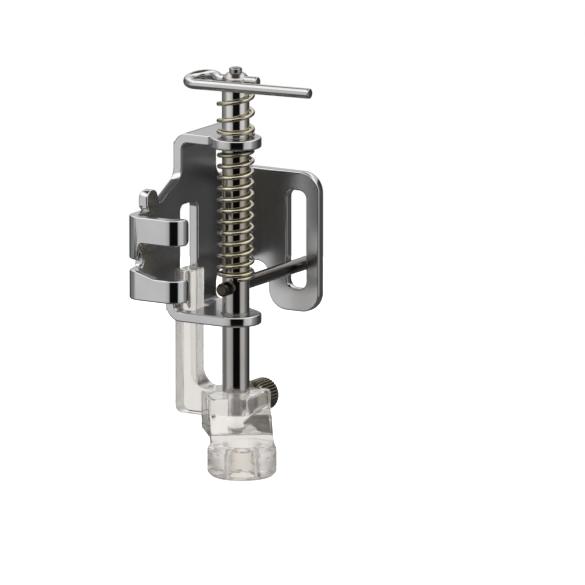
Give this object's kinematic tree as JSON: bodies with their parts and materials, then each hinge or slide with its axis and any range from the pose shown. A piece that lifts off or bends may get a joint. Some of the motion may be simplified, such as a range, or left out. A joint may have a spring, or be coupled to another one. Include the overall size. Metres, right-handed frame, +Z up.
{
  "type": "sewing machine presser foot",
  "caption": "Spring-loaded low-shank presser foot for free-motion quilting: folded chrome bracket, sliding rod with coil springs, bent-wire lifter lever and clear plastic needle ring.",
  "frame": {"origin": "middle of the needle hole on the sole", "axes": "+X towards the operator, +Y to the machine's right, +Z up along the needle and the plunger rod"},
  "size_m": [0.0239, 0.0357, 0.0574],
  "materials": {
    "chrome_sheet": "polished",
    "rod_steel": "polished",
    "lever_steel": "satin",
    "spring_steel": "satin",
    "clear_plastic": "clear",
    "dark_nickel": "blackened"
  },
  "bodies": {
    "bracket": {"bracket": "chrome_sheet", "upper_spring": "spring_steel", "lower_spring": "spring_steel"},
    "plunger": {"plunger_rod": "rod_steel", "lifter_lever": "lever_steel", "lever_set_screw": "rod_steel", "guide_pin": "rod_steel", "clear_foot": "clear_plastic"},
    "thumb_screw": {"thumb_screw": "dark_nickel"}
  },
  "joints": [
    {"name": "plunger_lift", "type": "slide", "parent": "bracket", "child": "plunger", "axis": [0, 0, 1], "range_m": [0, 0.008], "stiffness_N_per_m": 1050, "springref_m": -0.003, "deforming": ["lower_spring"]},
    {"name": "thumb_screw_turn", "type": "hinge", "parent": "plunger", "child": "thumb_screw", "pos_m": [-0.0075, 0.0171, 0.0078], "axis": [0, 1, 0], "continuous": true}
  ]
}
